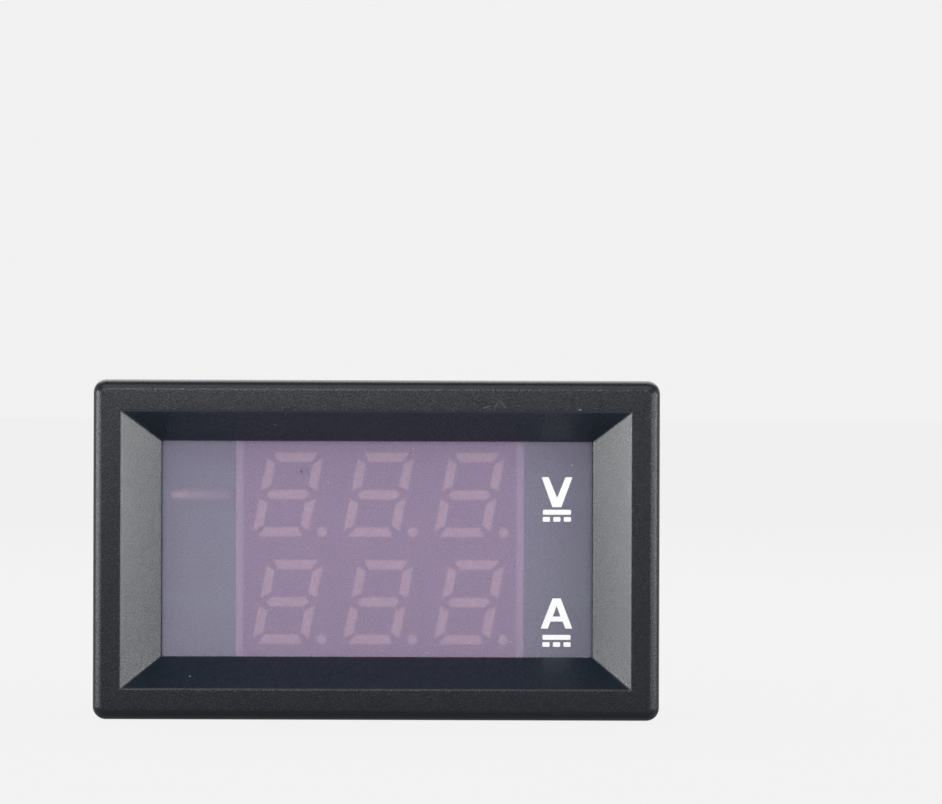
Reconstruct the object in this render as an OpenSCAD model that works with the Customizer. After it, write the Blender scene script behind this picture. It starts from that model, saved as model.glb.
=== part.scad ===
// Digital panel meter. A moulded housing snaps into a panel and holds a tinted
// lens, a six-digit display and the circuit board, whose headers face the rear.
// Lengths are in millimetres. The origin is the centre of the flange's rear face,
// which seats on the panel. +X points right, +Y to the rear and +Z up.

/* [Bezel] */
// Width of the front flange
bezel_w = 48; // [46:0.5:60]
// Height of the front flange
bezel_h = 28.8; // [28:0.2:36]
// Thickness of the front flange
bezel_t = 3.5; // [3:0.1:5]
// Radius of the flange's corners, seen from the front
bezel_corner_r = 1.1; // [1:0.1:2]
// Radius of the rounding round the flange's front face
bezel_round = 0.9; // [0.4:0.05:0.95]
// Width of the front face on each side of the recess, rounding included
rim_side = 2.4; // [1.8:0.1:3.5]
// Width of the front face above and below the recess, rounding included
rim_top = 2.65; // [1.8:0.05:3.5]

/* [Recess] */
// Depth of the recess in front of the window
recess_depth = 3.2; // [2:0.1:4]
// Width of the slope on each side of the window
slope_side = 3.25; // [1.5:0.05:4]
// Height of the slope above and below the window
slope_top = 2.55; // [1.5:0.05:3.5]
// Thickness of the edge that the lens lies against
window_lip = 0.4; // [0.3:0.1:1]

/* [Body] */
// Overlap of the flange over the panel, all round the body
flange_lap = 1.45; // [1:0.05:2.5]
// Depth of the body behind the panel face
body_depth = 17.5; // [16:0.5:24]
// Thickness of the body's walls
wall = 1.4; // [1:0.1:1.8]
// Radius of the body's long outer edges
body_corner_r = 0.8; // [0.4:0.1:1.2]
// Width of the bevel round the body's rear end
rear_bevel = 0.5; // [0.3:0.05:0.7]

/* [Panel catches] */
// Width of each springy catch
catch_w = 8; // [5:0.5:10]
// Width of the slot that frees the catch from its wall
catch_slot = 0.8; // [0.5:0.1:1.2]
// Length of the catch's tongue, from its free end to its root
catch_len = 11; // [10:0.5:13]
// Depth by which the catch is thinner than its wall
catch_relief = 0.4; // [0.2:0.05:0.5]
// Distance from the flange to the free end of the catch
catch_grip = 2.4; // [2.2:0.1:4]
// Number of steps that grip panels of different thickness
catch_steps = 4; // [2:1:5]
// Length of each step
step_len = 0.6; // [0.4:0.05:0.8]
// Rise of each step
step_rise = 0.33; // [0.2:0.01:0.4]
// Length of the ramp that presses the catch in
ramp_len = 7; // [5:0.5:7.5]

/* [Lens] */
// Thickness of the tinted lens
lens_t = 1.2; // [0.8:0.1:2]
// Overlap of the lens behind the window's edge
lens_lap = 1; // [0.6:0.1:1.4]
// Clearance round the lens in its pocket
lens_clear = 0.1; // [0.05:0.01:0.2]

/* [Display] */
// Height of a digit
digit_h = 7.2; // [6:0.1:8]
// Width of a digit without its slant
digit_w = 4.8; // [4:0.1:6]
// Width of a digit's bars
bar_w = 0.8; // [0.5:0.05:1]
// Gap between two bars of a digit
bar_gap = 0.25; // [0.1:0.01:0.4]
// Length cut off the outer corners of a digit
corner_cut = 0.5; // [0.35:0.05:0.8]
// Slant of the digits in degrees
slant = 11; // [0:1:15]
// Gap between the digits of a row, which holds the point
digit_gap = 2.98; // [2.4:0.02:4]
// Gap between the two rows of digits
row_gap = 2; // [1:0.1:2.6]
// Diameter of the decimal points
point_d = 0.85; // [0.5:0.05:1.1]
// Gap between a digit's foot and its point
point_gap = 0.72; // [0.4:0.02:1]
// Shift of the digits to the left, which makes room for the last point
digit_shift = 0.1; // [0:0.05:0.5]
// Width of the display's body beyond the digits' places on each side
side_margin = 0.66; // [0.6:0.02:1.5]
// Height of the display's body beyond the digits' places, above and below
end_margin = 0.4; // [0.2:0.1:0.8]
// Depth of the whole display
display_d = 6.2; // [5:0.1:7]
// Shift of the display to the right of the window's centre
display_shift = 0.2; // [0:0.05:0.5]
// Clearance between the lens and the display
display_gap = 0.1; // [0.05:0.05:0.3]
// Width of the bare band beside the face film
band_w = 0.67; // [0.4:0.01:0.8]
// Thickness of the face film
film_t = 0.12; // [0.1:0.01:0.2]
// Depth of the bars in the display's body
bar_depth = 2.5; // [1:0.1:3.5]
// Thickness of the display's own base board
base_t = 1; // [0.6:0.1:1.6]
// Inset of the base board from the display's sides
base_inset = 0.3; // [0.1:0.05:0.8]
// Pins in each of the display's two rows
pin_count = 7; // [5:1:8]
// Distance between the display's pins
pin_pitch = 2.54; // [2:0.01:2.6]
// Diameter of the display's pins
pin_d = 0.5; // [0.4:0.05:0.7]
// Distance of the pin rows from the display's top and bottom
pin_inset = 1.6; // [1.2:0.1:2]

/* [Circuit board] */
// Thickness of the circuit board
board_t = 1.2; // [0.8:0.1:1.6]
// Clearance between the board's edge and the walls
board_clear = 0.15; // [0.1:0.05:0.3]
// Gap between the display and the board
display_stand = 0.8; // [0.7:0.1:1.4]
// Depth of the board's side notches, where the catches flex inwards
notch_depth = 1.6; // [1.2:0.1:2]
// Free height of a side notch beyond the catch's slots
notch_spare = 0.5; // [0.2:0.1:1]
// Width of the corner posts that the board rests on
post_w = 1.6; // [1:0.1:1.8]
// Height of the corner posts
post_h = 2.4; // [1.6:0.1:3]
// Distance of the four board hooks from the middle
hook_x = 14; // [12:0.5:16]
// Width of a board hook
hook_w = 4; // [2:0.5:5]
// Rise of a board hook from its wall
hook_rise = 0.45; // [0.35:0.05:0.6]
// Length of a board hook
hook_len = 1.8; // [1:0.1:3]
// Clearance between the board and its hooks
hook_clear = 0.05; // [0.02:0.01:0.15]
// Clearance round a pin in its hole
hole_clear = 0.15; // [0.1:0.01:0.2]
// Length that the pins stand out of the board
pin_tail = 0.6; // [0.4:0.05:0.65]
// Width of the solder round each pin
solder_w = 0.5; // [0.3:0.05:0.6]
// Height of the solder round each pin
solder_h = 0.5; // [0.3:0.05:0.55]

/* [Current header] */
// Distance of the current header to the left of the middle
current_x = 5.9; // [5.6:0.1:6.4]
// Distance between the current pins
current_pitch = 3.96; // [3.5:0.01:4.2]
// Width of the current pins
current_pin_w = 1.14; // [0.9:0.02:1.3]
// Length of the base beyond the current pins at each end
current_overhang = 1.95; // [1.6:0.05:2.2]
// Depth of the current header's base
current_d = 8.5; // [7.5:0.1:9]
// Height of the current header's base
current_floor = 2.4; // [1.5:0.1:3]
// Height of the latch wall above the board
current_h = 9.4; // [8.6:0.1:10]
// Thickness of the latch wall
current_wall = 1.3; // [1:0.1:1.8]
// Length of the cheeks beside the latch wall
cheek_len = 2.2; // [1.5:0.1:3]
// Thickness of the cheeks
cheek_t = 0.8; // [0.6:0.1:1]
// Width of the latch window
latch_w = 3.4; // [2.5:0.1:4]
// Height of the latch window
latch_h = 2; // [1.2:0.1:2.6]
// Distance of the latch window from the wall's rim
latch_rim = 1.4; // [1:0.1:2]
// Height of the current pins above the board
current_pin_h = 8.2; // [7.5:0.1:8.5]

/* [Supply header] */
// Distance of the supply header to the right of the middle
supply_x = 5.6; // [5:0.1:6]
// Number of supply pins
supply_count = 3; // [2:1:3]
// Distance between the supply pins
supply_pitch = 2.5; // [2:0.01:2.6]
// Width of the supply pins
supply_pin_w = 0.64; // [0.5:0.02:0.8]
// Length of the shroud beyond the outer pins
supply_overhang = 2.45; // [2:0.05:2.7]
// Depth of the supply header's shroud
supply_d = 5.75; // [5:0.05:6]
// Height of the supply header
supply_h = 7; // [6:0.1:7.5]
// Thickness of the shroud's walls
supply_wall = 0.75; // [0.5:0.05:1]
// Thickness of the shroud's floor
supply_floor = 1.8; // [1:0.1:2.5]
// Width of the two guide slots in the shroud
guide_w = 1; // [0.6:0.1:1.4]
// Depth of the guide slots from the rim
guide_len = 4.4; // [3:0.1:4.8]
// Width of the notch in each end of the shroud
end_notch_w = 1.8; // [1:0.1:2.4]
// Depth of the end notches from the rim
end_notch_len = 2.6; // [1.5:0.1:4]
// Height of the supply pins above the board
supply_pin_h = 5.8; // [5:0.1:6]

/* [Shunt] */
// Diameter of the shunt wire on the board's front
shunt_d = 1.2; // [0.8:0.1:1.6]
// Distance between the shunt's legs
shunt_len = 4.5; // [3.5:0.1:5]
// Height of the shunt above the meter's middle
shunt_z = 4.45; // [4.3:0.05:4.6]
// Bend radius of the shunt wire
shunt_bend = 1.1; // [0.9:0.1:1.5]
// Gap between the shunt and the board
shunt_stand = 0.8; // [0.4:0.1:1.4]
// Gap between the shunt and the display's side
shunt_gap = 0.3; // [0.2:0.05:0.6]

/* [Trimmers] */
// Width of a trimmer's base
trimmer_w = 3; // [2.6:0.1:3.4]
// Height of a trimmer's base
trimmer_h = 3.6; // [3.2:0.1:4]
// Thickness of a trimmer's base
trimmer_t = 0.8; // [0.6:0.1:1.2]
// Distance between the two trimmers
trimmer_pitch = 4.6; // [4:0.1:5]
// Distance of the outer trimmer from the board's right edge
trimmer_inset = 4.2; // [3.6:0.1:4.6]
// Distance of the trimmers from the board's top edge
trimmer_drop = 3.1; // [2.8:0.1:3.4]
// Diameter of the rotor's head
rotor_d = 2.4; // [2:0.1:2.8]
// Thickness of the rotor's head
rotor_t = 0.6; // [0.4:0.05:0.9]
// Diameter of the rotor's shaft
shaft_d = 0.9; // [0.6:0.05:1.2]
// Reach of a trimmer's contacts beyond its base
contact_reach = 0.5; // [0.3:0.05:0.7]
// Running clearance of the rotor
rotor_clear = 0.05; // [0.03:0.01:0.08]
// Width of the rotor's cross slot
cross_w = 0.4; // [0.3:0.05:0.5]
// Depth of the rotor's cross slot
cross_depth = 0.3; // [0.2:0.05:0.35]

/* [Chips] */
// Width of the controller's body between its legs
controller_w = 4.4; // [3.8:0.1:5]
// Length of the controller's body
controller_len = 6.5; // [6.2:0.1:6.8]
// Thickness of the controller's body
controller_t = 1; // [0.8:0.05:1.2]
// Legs on each side of the controller
controller_leg_count = 10; // [7:1:10]
// Distance between the controller's legs
controller_pitch = 0.65; // [0.5:0.01:0.65]
// Width of the amplifier's body between its legs
amplifier_w = 3.9; // [3.5:0.1:4.2]
// Length of the amplifier's body
amplifier_len = 4.9; // [4.4:0.1:5.4]
// Thickness of the amplifier's body
amplifier_t = 1.45; // [1:0.05:1.7]
// Legs on each side of the amplifier
amplifier_leg_count = 4; // [3:1:4]
// Distance between the amplifier's legs
amplifier_pitch = 1.27; // [1:0.01:1.4]
// Reach of the chips' legs beyond their bodies
leg_reach = 1; // [0.9:0.05:1.2]
// Thickness of the chips' legs
leg_t = 0.15; // [0.1:0.01:0.2]
// Gap under the chips' bodies
chip_stand = 0.1; // [0.05:0.01:0.15]
// Distance of the controller's middle from the board's left edge
controller_inset = 5; // [4.9:0.1:5.6]
// Distance of the amplifier's middle from the board's right edge
amplifier_inset = 6.4; // [5.6:0.1:7]

/* [Power parts] */
// Thickness of the bent metal tabs
tab_t = 0.2; // [0.15:0.01:0.25]
// Width of the regulator's body
regulator_w = 4.5; // [4:0.1:5]
// Height of the regulator's body
regulator_h = 2.5; // [2.2:0.1:2.8]
// Thickness of the regulator's body
regulator_t = 1.5; // [1.2:0.1:1.8]
// Reach of the regulator's legs and tab beyond its body
regulator_reach = 0.8; // [0.5:0.1:1]
// Distance of the regulator's middle from the board's right edge
regulator_inset = 3.9; // [3.4:0.1:4.2]
// Distance of the regulator and the diode from the board's bottom edge
power_rise = 3.4; // [3.2:0.1:3.6]
// Length of the diode's body
diode_len = 4.3; // [3.6:0.1:4.4]
// Width of the diode's body
diode_w = 2.6; // [2:0.1:2.8]
// Thickness of the diode's body
diode_t = 2.1; // [1.6:0.1:2.3]
// Length of the diode's tabs under its body
diode_foot = 1; // [0.6:0.1:1.4]
// Distance from the regulator's middle to the diode's
diode_pitch = 5.6; // [5.2:0.1:5.8]
// Length of the capacitors
capacitor_len = 2; // [1.6:0.1:2.2]
// Width and height of the capacitors
capacitor_w = 1.25; // [0.8:0.05:1.3]
// Length of the capacitors' tinned ends
capacitor_end = 0.45; // [0.3:0.05:0.6]
// Length of the resistors
resistor_len = 1.6; // [1:0.1:2]
// Width of the resistors
resistor_w = 0.8; // [0.5:0.05:1]
// Thickness of the resistors
resistor_t = 0.45; // [0.3:0.05:0.6]
// Length of the resistors' tinned ends
resistor_end = 0.35; // [0.2:0.05:0.5]
// Distance between neighbouring small parts
small_pitch = 2.9; // [2.6:0.1:3]
// Distance of the resistors' middle from the board's top edge
resistor_drop = 2.6; // [2.4:0.1:3]
// Distance between the two rows of resistors
resistor_row_pitch = 2; // [1.6:0.1:2.2]
// Distance of the first small part from the board's left edge
small_inset = 3.4; // [3:0.1:4]

/* [Hidden] */
$fn = 48;

// Overshoot of a cut past the face that it opens
cut = 1;
// Digits in a row and rows of digits
columns = 3;
rows = 2;

// Openings of the recess and the window
recess_w = bezel_w - 2 * rim_side;
recess_h = bezel_h - 2 * rim_top;
window_w = recess_w - 2 * slope_side;
window_h = recess_h - 2 * slope_top;
// Outside and inside of the body
body_w = bezel_w - 2 * flange_lap;
body_h = bezel_h - 2 * flange_lap;
inner_w = body_w - 2 * wall;
inner_h = body_h - 2 * wall;
// Lens and display, in the plane of the window
lens_w = window_w + 2 * lens_lap;
lens_h = window_h + 2 * lens_lap;
digit_pitch = digit_w + digit_gap;
row_pitch = digit_h + row_gap;
display_w = columns * digit_pitch + 2 * side_margin;
display_h = rows * row_pitch + 2 * end_margin;
pin_z = display_h / 2 - pin_inset;
// Board and its notches
board_w = inner_w - 2 * board_clear;
board_h = inner_h - 2 * board_clear;
notch_h = catch_w + 2 * catch_slot + 2 * notch_spare;

// Faces from the front to the rear
front_y = -bezel_t;
window_y = front_y + recess_depth;
lens_y = window_y + window_lip;
inside_y = lens_y + lens_t;
film_y = inside_y + display_gap;
shell_y = film_y + film_t;
base_y = film_y + display_d - base_t;
display_rear = film_y + display_d;
board_front = display_rear + display_stand;
board_rear = board_front + board_t;
catch_root = catch_grip + catch_len;

// Places on the board
current_z = current_pitch / 2;
current_len = current_pitch + 2 * current_overhang;
supply_span = (supply_count - 1) * supply_pitch;
supply_len = supply_span + 2 * supply_overhang;
shunt_right = display_shift - display_w / 2 - shunt_gap - shunt_d / 2;
shunt_left = shunt_right - shunt_len;
trimmer_z = board_h / 2 - trimmer_drop;
current_trimmer_x = board_w / 2 - trimmer_inset;
voltage_trimmer_x = current_trimmer_x - trimmer_pitch;
controller_x = controller_inset - board_w / 2;
amplifier_x = board_w / 2 - amplifier_inset;
regulator_x = board_w / 2 - regulator_inset;
diode_x = regulator_x - diode_pitch;
power_z = power_rise - board_h / 2;
small_x = small_inset - board_w / 2;
resistor_z = board_h / 2 - resistor_drop;

// Details whose size never needs setting
dimple_r = 0.3;
dimple_depth = 0.08;
diode_draft = 0.2;
solder_clear = 0.01;

// --- Shapes that repeat -----------------------------------------------------

// Box between two opposite corners
module block(low, high) {
    translate(low)
        cube(high - low);
}

// Outline drawn in X and Z, extruded from y0 to y1
module along_y(y0, y1) {
    translate([0, y1, 0])
        rotate([90, 0, 0])
            linear_extrude(y1 - y0)
                children();
}

// Outline drawn in Y and Z, extruded over the width w about the middle
module along_x(w) {
    translate([-w / 2, 0, 0])
        rotate([90, 0, 90])
            linear_extrude(w)
                children();
}

// Outline drawn in X and Y, extruded over the height h about the middle
module along_z(h) {
    translate([0, 0, -h / 2])
        linear_extrude(h)
            children();
}

// Rectangle with rounded corners
module rounded(w, h, r) {
    square([w - 2 * r, h], center = true);
    square([w, h - 2 * r], center = true);
    for (x = [r - w / 2, w / 2 - r], y = [r - h / 2, h / 2 - r])
        translate([x, y])
            circle(r);
}

// Four-sided funnel from one opening to another, with straight mitred slopes
module funnel(y0, w0, h0, y1, w1, h1) {
    intersection() {
        along_z(max(h0, h1))
            polygon([[-w0 / 2, y0], [w0 / 2, y0], [w1 / 2, y1], [-w1 / 2, y1]]);
        along_x(max(w0, w1))
            polygon([[y0, -h0 / 2], [y1, -h1 / 2], [y1, h1 / 2], [y0, h0 / 2]]);
    }
}

// Places its children on the board's rear face, with Y away from the board
module on_board(x, z) {
    translate([x, board_rear, z])
        children();
}

// Round pin or hole along Y
module rod(d, y0, y1) {
    translate([0, y1, 0])
        rotate([90, 0, 0])
            cylinder(h = y1 - y0, d = d);
}

// Round cone along Y, from diameter d0 at y0 to d1 at y1
module taper(d0, y0, d1, y1) {
    translate([0, y0, 0])
        rotate([-90, 0, 0])
            cylinder(h = y1 - y0, d1 = d0, d2 = d1);
}

// Outline of a bar of width w from y0 to y1 with bevelled corners
function bevelled(w, y0, y1, bevel) = [
    [bevel - w / 2, y0], [w / 2 - bevel, y0], [w / 2, y0 + bevel], [w / 2, y1 - bevel],
    [w / 2 - bevel, y1], [bevel - w / 2, y1], [-w / 2, y1 - bevel], [-w / 2, y0 + bevel]
];

// Block along Y with both ends bevelled on four sides
module bevelled_block(w, h, y0, y1, bevel) {
    intersection() {
        along_z(h)
            polygon(bevelled(w, y0, y1, bevel));
        along_x(w)
            polygon([for (p = bevelled(h, y0, y1, bevel)) [p[1], p[0]]]);
    }
}

// Square pin along Y with bevelled tips
module square_pin(w, y0, y1) {
    bevelled_block(w, w, y0, y1, w / 4);
}

// --- Housing ----------------------------------------------------------------

// Outline across the flange, of width w, with both front edges rounded
module flange_outline(w) {
    translate([-w / 2, front_y + bezel_round])
        square([w, bezel_t - bezel_round]);
    translate([bezel_round - w / 2, front_y])
        square([w - 2 * bezel_round, bezel_t]);
    for (x = [bezel_round - w / 2, w / 2 - bezel_round])
        translate([x, front_y + bezel_round])
            circle(bezel_round);
}

// Round corner of the flange, the same outline turned about the corner's axis
module flange_corner() {
    rotate([-90, 0, 0])
        rotate_extrude()
            intersection() {
                flange_outline(2 * bezel_corner_r);
                translate([0, front_y])
                    square([bezel_corner_r, bezel_t]);
            }
}

// Flange whose front edge is rounded all the way round, corners included
module flange() {
    straight_w = bezel_w - 2 * bezel_corner_r;
    straight_h = bezel_h - 2 * bezel_corner_r;
    along_z(straight_h)
        flange_outline(bezel_w);
    rotate([0, 90, 0])
        along_z(straight_w)
            flange_outline(bezel_h);
    for (x = [-straight_w / 2, straight_w / 2], z = [-straight_h / 2, straight_h / 2])
        translate([x, 0, z])
            flange_corner();
}

// Body behind the flange, its front end hidden inside the flange
module body() {
    y0 = -bezel_t / 2;
    intersection() {
        along_y(y0, body_depth)
            rounded(body_w, body_h, body_corner_r);
        bevelled_block(body_w, body_h, y0, body_depth, rear_bevel);
    }
}

// Cut on the right that frees the catch's tongue on three sides and thins it from inside
module catch_slots() {
    reach = catch_w / 2 + catch_slot;
    inner = inner_w / 2;
    difference() {
        block([inner - cut, catch_grip - catch_slot, -reach], [body_w / 2 + cut, catch_root, reach]);
        block([inner + catch_relief, catch_grip, -catch_w / 2],
            [body_w / 2 + 2 * cut, catch_root + cut, catch_w / 2]);
    }
}

// Stepped wedge on the right catch, with its ramp towards the rear
module catch_wedge() {
    crest = catch_grip + catch_steps * step_len;
    face = body_w / 2;
    along_z(catch_w)
        polygon(concat(
            [[face - wall / 2, catch_grip]],
            [for (i = [0:catch_steps - 1], k = [0, 1])
                [face + (i + k) * step_rise, catch_grip + i * step_len]],
            [[face + catch_steps * step_rise, crest], [face, crest + ramp_len],
                [face - wall / 2, crest + ramp_len]]
        ));
}

// Post in the upper right corner that stops the board
module board_post() {
    block([inner_w / 2 - post_w, inside_y, inner_h / 2 - post_h],
        [inner_w / 2 + wall / 2, board_front, inner_h / 2 + wall / 2]);
}

// Hook on the upper right wall that snaps behind the board
module board_hook() {
    root = inner_h / 2 + wall / 2;
    face = inner_h / 2;
    y0 = board_rear + hook_clear;
    translate([hook_x, 0, 0])
        along_x(hook_w)
            polygon([[y0, root], [y0, face - hook_rise], [y0 + hook_len, face], [y0 + hook_len, root]]);
}

module housing() {
    color("#2b2d31")
        difference() {
            union() {
                difference() {
                    union() {
                        flange();
                        body();
                    }
                    block([-inner_w / 2, inside_y, -inner_h / 2],
                        [inner_w / 2, body_depth + cut, inner_h / 2]);
                }
                for (side = [0, 1])
                    mirror([side, 0, 0]) {
                        catch_wedge();
                        for (end = [0, 1])
                            mirror([0, 0, end]) {
                                board_post();
                                board_hook();
                            }
                    }
            }
            funnel(front_y, recess_w, recess_h, window_y, window_w, window_h);
            along_x(recess_w)
                polygon([[front_y - cut, -recess_h / 2], [front_y, -recess_h / 2],
                    [front_y, recess_h / 2], [front_y - cut, recess_h / 2]]);
            block([-window_w / 2, window_y - cut, -window_h / 2],
                [window_w / 2, inside_y + cut, window_h / 2]);
            block([-lens_w / 2 - lens_clear, lens_y, -lens_h / 2 - lens_clear],
                [lens_w / 2 + lens_clear, inside_y + cut, lens_h / 2 + lens_clear]);
            for (side = [0, 1])
                mirror([side, 0, 0])
                    catch_slots();
        }
}

module lens() {
    color("#6f6878", 0.5)
        block([-lens_w / 2, lens_y, -lens_h / 2], [lens_w / 2, inside_y, lens_h / 2]);
}

// --- Display ----------------------------------------------------------------

// A point of an upright digit, leaned over by the slant
function lean(p) = [p[0] + p[1] * tan(slant), p[1]];

// Outlines of the seven bars of one digit about its middle
module digit_bars() {
    w = digit_w / 2;
    h = digit_h / 2;
    miter = bar_gap / sqrt(2);
    // Top bar, and the right bar of the upper half: each is repeated by mirroring
    level = [
        [corner_cut - w, h], [w - corner_cut, h],
        [w - bar_w - miter, h - bar_w], [miter + bar_w - w, h - bar_w]
    ];
    upright = [
        [w, h - corner_cut], [w, 2 * miter],
        [w - bar_w, bar_w / 2 + 2 * miter], [w - bar_w, h - bar_w - miter]
    ];
    tip = w - bar_w / 2 - miter;
    middle = [
        [-tip, 0], [bar_w / 2 - tip, bar_w / 2], [tip - bar_w / 2, bar_w / 2],
        [tip, 0], [tip - bar_w / 2, -bar_w / 2], [bar_w / 2 - tip, -bar_w / 2]
    ];
    for (up = [-1, 1])
        polygon([for (p = level) lean([p[0], up * p[1]])]);
    for (up = [-1, 1], side = [-1, 1])
        polygon([for (p = upright) lean([side * p[0], up * p[1]])]);
    polygon([for (p = middle) lean(p)]);
}

// Bars and point of the digit in a column from -1 to 1 and a row of -1 or 1
module digit_solids(column, row, y0, y1) {
    foot = -(digit_h - bar_w) / 2;
    point_x = lean([digit_w / 2, foot])[0] + point_gap + point_d / 2;
    translate([display_shift - digit_shift + column * digit_pitch, 0, row * row_pitch / 2]) {
        along_y(y0, y1)
            digit_bars();
        translate([point_x, 0, foot])
            rod(point_d, y0, y1);
    }
}

// Every digit's bars and points, as cutters
module all_digits(y0, y1) {
    for (column = [-1:1], row = [-1, 1])
        digit_solids(column, row, y0, y1);
}

module digit(column, row) {
    color("#d9d4dc")
        digit_solids(column, row, film_y, shell_y + bar_depth);
}

module display_shell() {
    color("#dcd8df")
        difference() {
            translate([display_shift, 0, 0])
                block([-display_w / 2, shell_y, -display_h / 2], [display_w / 2, base_y, display_h / 2]);
            all_digits(shell_y - cut, shell_y + bar_depth);
        }
}

module display_film() {
    film_w = display_w - 2 * band_w;
    color("#7d7686")
        difference() {
            translate([display_shift, 0, 0])
                block([-film_w / 2, film_y, -display_h / 2], [film_w / 2, shell_y, display_h / 2]);
            all_digits(film_y - cut, shell_y + cut);
        }
}

module display_base() {
    w = display_w / 2 - base_inset;
    h = display_h / 2 - base_inset;
    color("#1f4a33")
        translate([display_shift, 0, 0])
            block([-w, base_y, -h], [w, display_rear, h]);
}

// Places its children at each of the display's pins
module at_display_pins() {
    for (i = [0:pin_count - 1], row = [-1, 1])
        translate([display_shift + (i - (pin_count - 1) / 2) * pin_pitch, 0, row * pin_z])
            children();
}

module display_pins() {
    color("silver")
        at_display_pins()
            rod(pin_d, display_rear, board_rear + pin_tail);
}

// --- Circuit board ----------------------------------------------------------

// Places its children at each current pin
module at_current_pins() {
    for (z = [-current_z, current_z])
        translate([-current_x, 0, z])
            children();
}

// Places its children at each supply pin
module at_supply_pins() {
    for (i = [0:supply_count - 1])
        translate([supply_x, 0, i * supply_pitch - supply_span / 2])
            children();
}

// Places its children at each leg of the shunt
module at_shunt_legs() {
    for (x = [shunt_left, shunt_right])
        translate([x, 0, shunt_z])
            children();
}

// Round hole through the board for a pin of width d
module board_hole(d) {
    rod(d + 2 * hole_clear, board_front - cut, board_rear + cut);
}

module circuit_board() {
    notch_x = board_w / 2 - notch_depth;
    color("#1d6b3f")
        difference() {
            block([-board_w / 2, board_front, -board_h / 2], [board_w / 2, board_rear, board_h / 2]);
            for (side = [0, 1])
                mirror([side, 0, 0])
                    block([notch_x, board_front - cut, -notch_h / 2],
                        [board_w / 2 + cut, board_rear + cut, notch_h / 2]);
            at_display_pins()
                board_hole(pin_d);
            at_current_pins()
                board_hole(current_pin_w * sqrt(2));
            at_supply_pins()
                board_hole(supply_pin_w * sqrt(2));
            at_shunt_legs()
                board_hole(shunt_d);
        }
}

module display_solder() {
    color("lightgray")
        at_display_pins()
            difference() {
                taper(pin_d + 2 * solder_w, board_rear, pin_d + solder_w / 2, board_rear + solder_h);
                rod(pin_d + 2 * solder_clear, board_rear - cut, board_rear + solder_h + cut);
            }
}

// Cone of solder on the board's front round a square pin of width w
module front_solder(w) {
    difference() {
        taper(w * sqrt(2) + solder_w / 2, board_front - solder_h, w * sqrt(2) + 2 * solder_w, board_front);
        block([-w / 2, board_front - solder_h - cut, -w / 2], [w / 2, board_front + cut, w / 2]);
    }
}

module header_solder() {
    color("lightgray") {
        at_current_pins()
            front_solder(current_pin_w);
        at_supply_pins()
            front_solder(supply_pin_w);
    }
}

module shunt_solder() {
    color("lightgray")
        at_shunt_legs()
            difference() {
                taper(shunt_d + 2 * solder_w, board_rear, shunt_d + solder_w / 2, board_rear + solder_h);
                rod(shunt_d + 2 * solder_clear, board_rear - cut, board_rear + solder_h + cut);
            }
}

// Bent wire in front of the board, with both legs through it
module shunt_wire() {
    bar_y = board_front - shunt_stand - shunt_d / 2;
    color("#b9b4ae") {
        at_shunt_legs()
            rod(shunt_d, bar_y + shunt_bend, board_rear + pin_tail);
        for (side = [0, 1])
            translate([(shunt_left + shunt_right) / 2, bar_y + shunt_bend, shunt_z])
                mirror([side, 0, 0])
                    translate([shunt_len / 2 - shunt_bend, 0, 0])
                        rotate([0, 0, -90])
                            rotate_extrude(angle = 90)
                                translate([shunt_bend, 0])
                                    circle(d = shunt_d);
        translate([shunt_left + shunt_bend, bar_y, shunt_z])
            rotate([0, 90, 0])
                cylinder(h = shunt_len - 2 * shunt_bend, d = shunt_d);
    }
}

// --- Headers ----------------------------------------------------------------

// Two-pin header: a low base and a tall wall for the plug's latch
module current_header() {
    left = -current_d / 2;
    half = current_len / 2;
    latch_y = current_h - latch_rim;
    color("#efece4")
        on_board(-current_x, 0)
            difference() {
                union() {
                    block([left, 0, -half], [current_d / 2, current_floor, half]);
                    block([left, 0, -half], [left + current_wall, current_h, half]);
                    for (end = [0, 1])
                        mirror([0, 0, end])
                            translate([0, 0, half - cheek_t / 2])
                                along_z(cheek_t)
                                    polygon([
                                        [left, 0], [left + current_wall + cheek_len, 0],
                                        [left + current_wall + cheek_len, current_floor + cheek_len],
                                        [left + current_wall, current_h], [left, current_h]
                                    ]);
                }
                block([left - cut, latch_y - latch_h, -latch_w / 2],
                    [left + current_wall + cut, latch_y, latch_w / 2]);
                for (z = [-current_z, current_z])
                    block([-current_pin_w / 2, -cut, z - current_pin_w / 2],
                        [current_pin_w / 2, current_floor + cut, z + current_pin_w / 2]);
            }
}

module current_pins() {
    color("silver")
        at_current_pins()
            square_pin(current_pin_w, board_front - pin_tail, board_rear + current_pin_h);
}

// Three-pin header: a shroud with guide slots on one side and a notch in each end
module supply_header() {
    side = supply_d / 2;
    half = supply_len / 2;
    guide_z = half / 2;
    color("#f3f1ea")
        on_board(supply_x, 0)
            difference() {
                block([-side, 0, -half], [side, supply_h, half]);
                block([supply_wall - side, supply_floor, supply_wall - half],
                    [side - supply_wall, supply_h + cut, half - supply_wall]);
                for (z = [-guide_z, guide_z])
                    block([side - supply_wall - cut, supply_h - guide_len, z - guide_w / 2],
                        [side + cut, supply_h + cut, z + guide_w / 2]);
                block([-end_notch_w / 2, supply_h - end_notch_len, -half - cut],
                    [end_notch_w / 2, supply_h + cut, half + cut]);
                for (i = [0:supply_count - 1])
                    translate([0, 0, i * supply_pitch - supply_span / 2])
                        block([-supply_pin_w / 2, -cut, -supply_pin_w / 2],
                            [supply_pin_w / 2, supply_floor + cut, supply_pin_w / 2]);
            }
}

module supply_pins() {
    color("silver")
        at_supply_pins()
            square_pin(supply_pin_w, board_front - pin_tail, board_rear + supply_pin_h);
}

// --- Trimmers ---------------------------------------------------------------

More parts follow.
